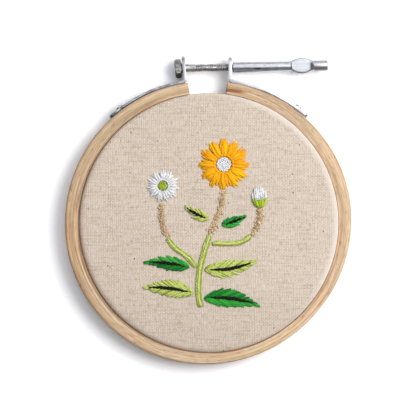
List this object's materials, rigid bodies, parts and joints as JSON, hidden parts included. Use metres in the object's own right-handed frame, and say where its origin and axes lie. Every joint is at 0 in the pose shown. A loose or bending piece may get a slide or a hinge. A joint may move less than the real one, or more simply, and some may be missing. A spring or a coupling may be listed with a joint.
{
  "type": "hoop embroidery art: stitched linen cloth in a wooden embroidery hoop",
  "caption": "Stitched linen held taut in a split wooden hoop, closed at the top by a steel clamp screw with a long turning nut.",
  "frame": {"origin": "under the middle of the whole piece's box, on the surface that the hoop's back rests on", "axes": "+Z out of the cloth's front, +Y towards the clamp at the hoop's top, +X to the right as the picture is seen"},
  "size_m": [0.1124, 0.122, 0.0105],
  "materials": {
    "beech": "sanded, unvarnished",
    "linen": "plain weave, unbleached",
    "zinc_plate": "bright zinc plate",
    "dull_steel": "dull, rough",
    "bright_steel": "polished",
    "thread_orange": "satin stranded cotton",
    "thread_white": "satin stranded cotton",
    "thread_lime": "satin stranded cotton",
    "thread_green": "satin stranded cotton",
    "thread_green_dark": "satin stranded cotton",
    "thread_tan": "fuzzy stranded cotton"
  },
  "bodies": {
    "hoop": {"outer_ring": "beech", "inner_ring": "beech", "cloth": "linen", "left_bracket": "zinc_plate", "right_bracket": "zinc_plate", "left_rivet": "zinc_plate", "right_rivet": "zinc_plate", "clamp_screw": "dull_steel", "stem_main_low": "thread_green", "stem_main_high": "thread_tan", "stem_left_low": "thread_green", "stem_left_high": "thread_tan", "stem_right_low": "thread_green", "stem_right_high": "thread_tan", "leaf_low_right": "thread_green_dark", "leaf_low_left": "thread_green", "leaf_middle_right": "thread_green", "leaf_middle_left": "thread_green_dark", "leaf_high_right": "thread_green_dark", "leaf_high_left": "thread_green", "daisy_orange_petals": "thread_orange", "daisy_orange_eye": "thread_white", "daisy_white_petals": "thread_white", "daisy_white_eye": "thread_lime", "bud_petals": "thread_white", "bud_calyx": "thread_lime"},
    "nut": {"sleeve_nut": "bright_steel"}
  },
  "joints": [
    {"name": "nut_spin", "type": "hinge", "parent": "hoop", "child": "nut", "pos_m": [0, 0.05647, 0.00475], "axis": [0.9998, 0.0209, 0], "continuous": true}
  ]
}
